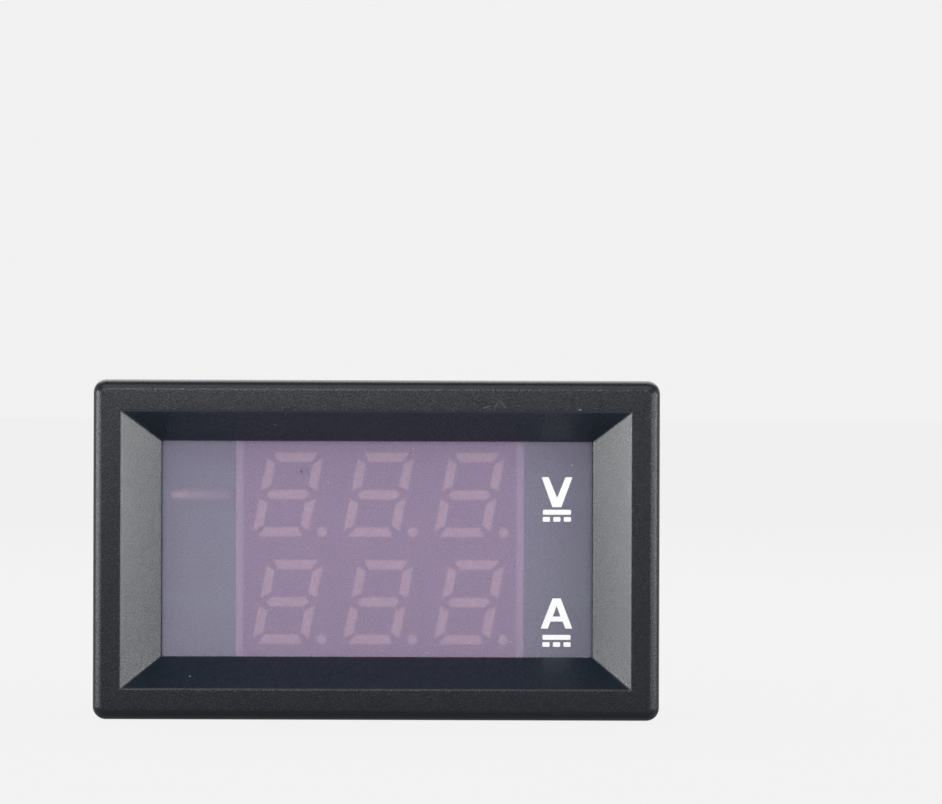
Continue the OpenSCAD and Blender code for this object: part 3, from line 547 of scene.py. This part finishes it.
# %% [markdown]
# ## Printed signs
# The unit marks are printed on the lens in white: V and A, each over the sign for direct
# current, which is a solid bar over three dashes. A text object would bring a font's
# shapes, so each mark is an outline of a few corners, softened a little as ink spreads.

# %% Signs V and A
lens_front = low("lens", "y")
sign_x = high("lens", "x") - 4.0 * MM
ink_front = lens_front - 0.025 * MM


def shifted(corners, x, z):
    """Corners in mm about a point, as metres."""
    return np.asarray(corners, dtype=float) * MM + [x, z]


def dc_sign(x, z):
    """Solid bar with three dashes under it, with the bar's top at height z."""
    bar = box_outline(-1.2, 1.2, 0, -0.42)
    dashes = [box_outline(c - 0.31, c + 0.31, -0.62, -1.02) for c in (-0.9, 0, 0.9)]
    return [softened(shifted(part, x, z), 0.1 * MM) for part in [bar, *dashes]]


volt_top = 6.18 * MM
volt = [[-1.315, 0], [-0.72, 0], [0.015, -1.77], [0.725, 0], [1.315, 0], [0.375, -2.56], [-0.385, -2.56]]
outline = [softened(shifted(volt, sign_x, volt_top), 0.07 * MM)]
points, faces = plates(outline + dc_sign(sign_x, volt_top - 2.78 * MM), ink_front, lens_front)
volt_sign = new_piece("volt_sign", mesh_from("volt_sign", points, faces))
give_finish(volt_sign, "display_white", white_ink)

amp_foot = -6.75 * MM
left_leg = [
    [-1.35, 0], [-0.35, 2.58], [0, 2.58], [0, 1.93], [-0.33, 1.03],
    [0, 1.03], [0, 0.6], [-0.52, 0.6], [-0.75, 0],
]
right_leg = [[-x, z] for x, z in left_leg[::-1]]
outline = [softened(shifted(part, sign_x, amp_foot), 0.05 * MM) for part in (left_leg, right_leg)]
points, faces = plates(outline + dc_sign(sign_x, amp_foot - 0.54 * MM), ink_front, lens_front)
amp_sign = new_piece("amp_sign", mesh_from("amp_sign", points, faces))
give_finish(amp_sign, "display_white", white_ink)
print("signs at x =", round(sign_x / MM, 2), "mm")

# %% [markdown]
# ## Display
# The display is a white shell with a grey film on its face. Each bar of a digit is a
# well filled with milky resin that glows from a diode beneath. It is off here, so the
# bars are only a little paler than the film.

# %% Display
for node, material in [("display_film", grey_face), ("display_base", green_mask)]:
    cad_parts[node].material_slots[0].material = material
for row in ("upper", "lower"):
    for column in ("left", "middle", "right"):
        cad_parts["digit_%s_%s" % (row, column)].material_slots[0].material = milky_resin
shell = rounded_copy("display_case", ["display_shell"], 0.0)
give_finish(shell, "display_white", white_case)
pins = rounded_copy("display_leads", ["display_pins"], 0.0)
give_finish(pins, "tinned_metal", tin_plate)
print("display pins:", len(display_pin_boxes))

# %% [markdown]
# ## Circuit board
# The board is glass fibre under green solder mask. Tracks show through the mask as paler
# lines, pads and pins carry bright solder, and white print marks the parts. The tracks
# and pads are plates a few hundredths of a millimetre high on the rear face.

# %% Board and its pads
board_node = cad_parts["circuit_board"]
board_node.material_slots[0].material = green_mask
rear = high("circuit_board", "y")


def pad_under(box, centre, grow=0.18, cover=0.7):
    """Outline of the pad under a leg or tab: its outer part, and a little around it.

    The side that is farther from the part's centre is the foot."""
    (x0, _, z0), (x1, _, z1) = box[0] / MM, box[1] / MM
    cx, cz = centre[0] / MM, centre[1] / MM
    if abs((x0 + x1) / 2 - cx) > abs((z0 + z1) / 2 - cz):
        if (x0 + x1) / 2 < cx:
            x1 = min(x1, x0 + cover)
        else:
            x0 = max(x0, x1 - cover)
        grow_x, grow_z = grow * 1.4, grow * 0.5
    else:
        if (z0 + z1) / 2 < cz:
            z1 = min(z1, z0 + cover)
        else:
            z0 = max(z0, z1 - cover)
        grow_x, grow_z = grow * 0.9, grow * 1.4
    x0, x1, z0, z1 = x0 - grow_x, x1 + grow_x, z0 - grow_z, z1 + grow_z
    return softened(np.array(box_outline(x0, x1, z0, z1)) * MM, 0.06 * MM, 3)


pad_outlines = []
for node in (
    "controller_legs", "amplifier_legs", "regulator_tabs", "diode_tabs",
    "voltage_trimmer_contacts", "current_trimmer_contacts",
):
    lo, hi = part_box(node)
    centre = ((lo.x + hi.x) / 2, (lo.z + hi.z) / 2)
    pad_outlines += [pad_under(box, centre) for box in solids(node)]
for node in ("capacitor_ends", "resistor_ends"):
    for box in solids(node):
        (x0, _, z0), (x1, _, z1) = box[0] / MM, box[1] / MM
        pad = box_outline(x0 - 0.18, x1 + 0.18, z0 - 0.1, z1 + 0.1)
        pad_outlines.append(softened(np.array(pad) * MM, 0.06 * MM, 3))
points, faces = plates(pad_outlines, rear, rear + 0.035 * MM)
pads = new_piece("solder_pads", mesh_from("solder_pads", points, faces))
give_finish(pads, "solder", bright_solder)
print("pads:", len(pad_outlines))

# %% Tracks
def track(corners, width):
    """Outlines of the straight parts of a track, in metres, from corners in mm.

    Each part is a hexagon: its two ends are pointed at 45 degrees to the run, half a
    width past the corner, so that neighbours overlap without a gap."""
    p = np.asarray(corners, dtype=float)
    run = np.diff(p, axis=0)
    along = run / np.linalg.norm(run, axis=1)[:, None]
    side = np.column_stack([-along[:, 1], along[:, 0]]) * width / 2
    tip = along * width / 2
    a, b = p[:-1], p[1:]
    hexagon = np.stack([a - side, a - tip, a + side, b + side, b + tip, b - side], 1)
    return [h * MM for h in hexagon]


runs = []
pin_x = sorted({round(float(b[0][0] + b[1][0]) / 2 / MM, 2) for b in display_pin_boxes})
leg_z = sorted({round(float((b[0] + b[1])[2] / 2 / MM), 3) for b in solids("controller_legs")})
leg_right = high("controller_legs", "x") / MM
row_z = 8.0
for side in (1, -1):
    lanes = [z for z in leg_z if z * side > 0]
    lanes.sort(key=lambda z: -abs(z))
    for i, z in enumerate(lanes):
        x = leg_right + 1.1 + 0.3 * i
        bus = side * (6.6 - 0.36 * i)
        end = pin_x[i]
        corners = [
            (leg_right, z), (x - 0.2, z), (x, z + 0.2 * side), (x, bus - 0.4 * side),
            (x + 0.4, bus), (end - abs(row_z * side - bus), bus), (end, row_z * side),
        ]
        runs.append((corners, 0.17))
supply_edge = high("supply_header", "x") / MM
amp_left = low("amplifier_legs", "x") / MM
amp_right = high("amplifier_legs", "x") / MM
for z in sorted({round(float((b[0][2] + b[1][2]) / 2 / MM), 3) for b in solids("amplifier_legs")}):
    runs.append(([(amp_left, z), (supply_edge + 0.3, z), (supply_edge - 0.6, z)], 0.28))
runs += [
    ([(amp_right, 1.905), (19.0, 1.905), (19.5, 2.405), (19.5, 4.9), (18.6, 5.8), (17.4, 5.8),
      (17.4, 6.2)], 0.25),
    ([(amp_right, 0.635), (19.3, 0.635), (20.1, 1.435), (20.1, 10.6), (19.7, 11.0), (16.8, 11.0),
      (16.8, 10.5)], 0.25),
    ([(16.0, 6.2), (16.0, 5.2), (15.3, 4.5), (12.8, 4.5), (12.8, 6.2)], 0.25),
    ([(11.3, 6.2), (11.3, 5.0), (9.6, 3.3), (supply_edge - 0.4, 3.3)], 0.3),
    ([(12.2, 10.5), (12.2, 11.0), (8.6, 11.0), (7.82, 10.2), (7.82, 8.0)], 0.25),
    ([(amp_right, -1.905), (19.2, -1.905), (20.0, -2.705), (20.0, -9.2), (19.4, -9.8), (18.4, -9.8)], 0.3),
    ([(-18.3, 8.8), (-19.6, 8.8), (-20.0, 8.4), (-20.0, 3.6), (-19.6, 2.925), (-19.1, 2.925)], 0.2),
    ([(-15.6, 6.6), (-15.6, 5.2), (-15.0, 4.6), (-15.0, 3.9)], 0.2),
    ([(-17.53, 4.45), (-17.53, 7.2)], 0.35),
    ([(-13.03, 4.45), (-13.03, 6.2), (-12.0, 7.2), (-11.6, 8.8)], 0.35),
]
track_outlines = [part for corners, width in runs for part in track(corners, width)]
points, faces = plates(track_outlines, rear, rear + 0.02 * MM)
tracks = new_piece("board_tracks", mesh_from("board_tracks", points, faces))
give_finish(tracks, "board_green", green_track)
print("tracks:", len(runs), "runs,", len(track_outlines), "straight parts")

# %% Plated holes and white print
def circle(x, z, r, sides=14):
    """Outline of a circle about a place in mm: (x + r cos a, z + r sin a)."""
    a = np.linspace(0, 2 * np.pi, sides, endpoint=False)
    return np.column_stack([x + r * np.cos(a), z + r * np.sin(a)]) * MM


def frame_lines(x0, x1, z0, z1, line=0.13):
    """Outlines of the four sides of a printed frame, in metres, from places in mm."""
    h = line / 2
    bars = [
        (x0 - h, x1 + h, z0 - h, z0 + h), (x0 - h, x1 + h, z1 - h, z1 + h),
        (x0 - h, x0 + h, z0 + h, z1 - h), (x1 - h, x1 + h, z0 + h, z1 - h),
    ]
    return [np.array(box_outline(*bar)) * MM for bar in bars]


hole_places = [
    (-9.6, 9.9), (-6.4, 9.7), (-2.2, 9.9), (2.0, 9.6), (9.7, 7.4), (9.4, -6.6),
    (13.2, -8.0), (19.9, 0.0), (19.9, -10.6), (-10.6, 5.4), (-11.0, -5.4), (-19.9, -1.2),
    (-19.9, -6.2), (-6.8, -9.8), (-2.6, -9.9), (1.6, -9.7), (8.9, -10.2), (15.2, 3.7),
]
points, faces = plates([circle(x, z, 0.30) for x, z in hole_places], rear, rear + 0.03 * MM)
rings = new_piece("plated_holes", mesh_from("plated_holes", points, faces))
give_finish(rings, "solder", bright_solder)
points, faces = plates([circle(x, z, 0.15) for x, z in hole_places], rear, rear + 0.036 * MM)
holes = new_piece("hole_centres", mesh_from("hole_centres", points, faces))
give_finish(holes, "board_green", green_mask)

print_lines = []
for nodes, margin in [
    (("controller_body", "controller_legs"), 0.55),
    (("amplifier_body", "amplifier_legs"), 0.5),
    (("current_header",), 0.35),
    (("supply_header",), 0.35),
    (("regulator_body", "regulator_tabs"), 0.5),
    (("diode_body", "diode_tabs"), 0.5),
    (("voltage_trimmer_base", "voltage_trimmer_contacts"), 0.45),
    (("current_trimmer_base", "current_trimmer_contacts"), 0.45),
    (("capacitor_ends",), 0.45),
    (("resistor_ends",), 0.45),
]:
    x0, x1 = min(low(n, "x") for n in nodes) / MM, max(high(n, "x") for n in nodes) / MM
    z0, z1 = min(low(n, "z") for n in nodes) / MM, max(high(n, "z") for n in nodes) / MM
    print_lines += frame_lines(x0 - margin, x1 + margin, z0 - margin, z1 + margin)
x, z = high("supply_header", "x") / MM + 1.4, low("supply_header", "z") / MM + 1.0
arm, half = 0.5, 0.07
print_lines += [np.array(box_outline(x - arm, x + arm, z - half, z + half)) * MM]
z = high("supply_header", "z") / MM - 1.6
plus = [
    [-arm, -half], [-half, -half], [-half, -arm], [half, -arm], [half, -half], [arm, -half],
    [arm, half], [half, half], [half, arm], [-half, arm], [-half, half], [-arm, half],
]
print_lines += [(np.array(plus) + [x, z]) * MM]
for chip, above in (("controller", 1.15), ("amplifier", 1.0)):
    x = low(chip + "_legs", "x") / MM - 0.3
    print_lines.append(circle(x, high(chip + "_body", "z") / MM + above, 0.2))
points, faces = plates(print_lines, rear, rear + 0.026 * MM)
silk = new_piece("board_print", mesh_from("board_print", points, faces))
give_finish(silk, "display_white", white_ink)
print("plated holes:", len(hole_places), " printed lines:", len(print_lines))

# %% [markdown]
# ## Solder
# Molten solder climbs a pin and spreads over its pad, so its side is a hollow curve, steep
# at the pin and flat at the pad. The model has plain cones there. Each is replaced by a
# surface of revolution with that curve.

# %% Solder
def fillet(pad, pin, height, steps=9):
    """Radius and depth of a solder fillet's profile.

    With t from 0 at the pad to 1 at the tip, the depth is height * t, and the radius is
    pin + (pad - pin) * (1 - t) ** 2.4."""
    t = np.linspace(0, 1, steps)
    return pin + (pad - pin) * (1 - t) ** 2.4, height * t


def solder_on(name, node, ring):
    """Solder round each solid of a node, in its place, replacing the plain cones."""
    boxes = solids(node)
    groups = [((b[0] + b[1]) / 2, (b[1][0] - b[0][0]) / 2) for b in boxes]
    up = 1 if boxes[0][0][1] > low("circuit_board", "y") + 0.5 * MM else -1
    base = high("circuit_board", "y") if up > 0 else low("circuit_board", "y")
    tall = boxes[0][1][1] - boxes[0][0][1]
    points, faces, start = [], [], 0
    for middle, outer in groups:
        radius, depth = fillet(outer * 0.98, max(outer - ring * MM, 0.2 * MM), tall)
        p, f = turned([(middle[0], base, middle[2])], radius, depth * up)
        points.append(p)
        faces += [[i + start for i in face] for face in f]
        start += len(p)
    piece = new_piece(name, mesh_from(name, np.vstack(points), faces))
    piece.data.polygons.foreach_set("use_smooth", np.ones(len(piece.data.polygons), dtype=bool))
    piece.data.set_sharp_from_angle(angle=math.radians(50))
    give_finish(piece, "solder", bright_solder)
    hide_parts(node)
    return len(groups)


for name, node, ring in [
    ("display_joints", "display_solder", 0.5),
    ("header_joints", "header_solder", 0.45),
    ("shunt_joints", "shunt_solder", 0.5),
]:
    print(name, solder_on(name, node, ring))
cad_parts["shunt_wire"].material_slots[0].material = dull_alloy

# %% [markdown]
# ## Headers
# Two nylon headers take the leads: a wide one for the current, with a latch wall, and a
# shrouded one for the supply and the voltage. Their pins are tinned brass.

# %% Headers
for name, node, slot, material, width in [
    ("current_header_body", "current_header", "header_white", cream_nylon, 0.10),
    ("current_header_pins", "current_pins", "tinned_metal", tin_plate, 0.06),
    ("supply_header_body", "supply_header", "header_white", cream_nylon, 0.08),
    ("supply_header_pins", "supply_pins", "tinned_metal", tin_plate, 0.04),
]:
    give_finish(rounded_copy(name, [node], width), slot, material)
    print(name, "rounded by", width, "mm")

# %% [markdown]
# ## Trimmers and small parts
# Two trimmers set the voltage and the current reading. Each rotor turns in its own body,
# so it rides on its own joint. Chips, capacitors and resistors get softer edges.

# %% Trimmers
for part in ("voltage", "current"):
    base = rounded_copy(part + "_trimmer_body", [part + "_trimmer_base"], 0.05)
    give_finish(base, "trimmer_base", trimmer_body)
    lands = rounded_copy(part + "_trimmer_lands", [part + "_trimmer_contacts"], 0.03)
    give_finish(lands, "tinned_metal", tin_plate)
    wheel = rounded_copy(part + "_trimmer_wheel", [part + "_trimmer_rotor"], 0.04, body=part + "_rotor")
    give_finish(wheel, "tinned_metal", tin_plate)
    print(part, "trimmer: body, lands and wheel")

# %% Small parts
for name, node, slot, material, width in [
    ("controller_case", "controller_body", "chip_black", chip_moulding, 0.04),
    ("controller_leads", "controller_legs", "tinned_metal", tin_plate, 0.02),
    ("amplifier_case", "amplifier_body", "chip_black", chip_moulding, 0.04),
    ("amplifier_leads", "amplifier_legs", "tinned_metal", tin_plate, 0.02),
    ("regulator_case", "regulator_body", "chip_black", chip_moulding, 0.06),
    ("regulator_leads", "regulator_tabs", "tinned_metal", tin_plate, 0.03),
    ("diode_case", "diode_body", "chip_black", chip_moulding, 0.06),
    ("diode_leads", "diode_tabs", "tinned_metal", tin_plate, 0.03),
    ("capacitor_blocks", "capacitor_bodies", "capacitor_tan", tan_ceramic, 0.05),
    ("capacitor_caps", "capacitor_ends", "tinned_metal", bright_solder, 0.05),
    ("resistor_chips", "resistor_bodies", "chip_black", chip_moulding, 0.03),
    ("resistor_caps", "resistor_ends", "tinned_metal", bright_solder, 0.03),
]:
    give_finish(rounded_copy(name, [node], width), slot, material)

# %% [markdown]
# ## Dust and a scratch
# A used meter carries a little dust in its recess and on its lens. Each speck is a tiny
# flat chip with an uneven outline that lies on whatever it has landed on. A ray along Y
# finds that surface and its normal, so a speck on a slope leans as the slope does.

# %% Helper for specks
chance = np.random.default_rng(7)


def front_tree():
    """Search tree of the housing's and the lens's faces as they are in the model."""
    points, faces, start = [], [], 0
    for node in ("housing", "lens"):
        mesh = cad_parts[node].data
        p, _ = mesh_arrays(mesh)
        corners = np.empty(len(mesh.loops), dtype=np.int32)
        mesh.loops.foreach_get("vertex_index", corners)
        points.append(p)
        faces += (corners.reshape(-1, 3) + start).tolist()
        start += len(p)
    return BVHTree.FromPolygons(np.vstack(points).tolist(), faces)


def chips(places, length, width, thick=0.012, sides=7):
    """Points and faces of flat chips on the front of the meter.

    Places are (x, z, turn) in mm and radians. Corner k of a chip stands at the angle
    2 pi k / sides, at half the length along the turned axis and half the width across it,
    each times a number near 1. The chip lies on the surface that a ray along Y hits."""
    tree = front_tree()
    points, faces, start = [], [], 0
    for (x, z, turn), long, wide in zip(places, length, width):
        spot, normal, _, _ = tree.ray_cast(Vector((x * MM, front_y - 0.01, z * MM)), Vector((0, 1, 0)))
        if spot is None:
            continue
        across = normal.cross(Vector((0, 0, 1))).normalized()
        up = across.cross(normal)
        a = np.linspace(0, 2 * np.pi, sides, endpoint=False)
        uneven = chance.uniform(0.75, 1.15, sides)
        u, v = 0.5 * long * uneven * np.cos(a), 0.5 * wide * uneven * np.sin(a)
        u, v = u * np.cos(turn) - v * np.sin(turn), u * np.sin(turn) + v * np.cos(turn)
        flat = np.array(spot) + (np.outer(u, across) + np.outer(v, up)) * MM
        points += [flat, flat + np.array(normal) * thick * MM]
        i = np.arange(sides)
        j = (i + 1) % sides
        faces += (np.column_stack([i, j, j + sides, i + sides]) + start).tolist()
        faces += [(i + start).tolist(), (i + sides + start).tolist()]
        start += 2 * sides
    return np.vstack(points), faces


# %% Dust, dirt and a scratch
grey_dust = finish(
    "grey_dust", (0.33, 0.32, 0.31), (0.22, 0.22, 0.22),
    rough=0.85, spread=0.05, scale=9000, grain=20000, bump=0.2)
dark_dirt = finish(
    "dark_dirt", (0.050, 0.035, 0.045), (0.085, 0.060, 0.075),
    rough=0.8, spread=0.05, scale=9000, grain=20000, bump=0.2)
pale_scuff = finish(
    "pale_scuff", (0.085, 0.088, 0.105), (0.060, 0.062, 0.078),
    rough=0.6, spread=0.05, scale=9000, grain=20000, bump=0.2)

# Each row is x, z, turn, length and width, in mm and radians.
large_dust = [
    (-15.8, -10.77, 0.4, 0.22, 0.10), (-8.64, 10.6, 1.0, 0.20, 0.10),
    (17.2, 11.95, 0.2, 0.24, 0.09), (3.05, 8.60, 0.0, 0.16, 0.12),
    (16.6, 7.2, 0.7, 0.18, 0.10), (11.47, -7.9, 0.3, 0.17, 0.13),
    (4.34, -8.84, 0.1, 0.40, 0.07), (-4.2, 5.66, 0.0, 0.15, 0.13),
]
count = 70
loose_dust = np.column_stack([
    chance.uniform(-21.0, 21.0, count),
    chance.uniform(-11.5, 11.5, count),
    chance.uniform(0, 3.1, count),
    chance.uniform(0.03, 0.09, count),
    chance.uniform(0.02, 0.05, count),
])
specks = np.vstack([large_dust, loose_dust])
points, faces = chips(specks[:, :3], specks[:, 3], specks[:, 4])
dust = new_piece("dust_specks", mesh_from("dust_specks", points, faces))
give_finish(dust, "display_grey", grey_dust)

count = 34
dirt = np.column_stack([
    chance.normal(-6.5, 0.30, count),
    chance.normal(6.6, 0.24, count),
    chance.uniform(0, 3.1, count),
    chance.uniform(0.04, 0.13, count),
    chance.uniform(0.03, 0.07, count),
])
points, faces = chips(dirt[:, :3], dirt[:, 3], dirt[:, 4])
dirt_piece = new_piece("dirt_specks", mesh_from("dirt_specks", points, faces))
give_finish(dirt_piece, "display_grey", dark_dirt)


# Each stroke of the scratch runs from one (x, z) to another, in mm.
strokes = np.array([
    [9.92, 12.60, 10.32, 12.05],
    [10.32, 12.05, 10.96, 12.78],
    [8.95, 12.24, 9.69, 12.06],
])
middle = (strokes[:, :2] + strokes[:, 2:]) / 2
run = strokes[:, 2:] - strokes[:, :2]
places = np.column_stack([middle, np.arctan2(run[:, 1], run[:, 0])])
stroke_width = np.full(len(strokes), 0.07)
points, faces = chips(places, np.hypot(run[:, 0], run[:, 1]), stroke_width, thick=0.006, sides=12)
scratch = new_piece("front_scratch", mesh_from("front_scratch", points, faces))
give_finish(scratch, "housing_plastic", pale_scuff)
print("specks:", len(specks), " dirt:", len(dirt))
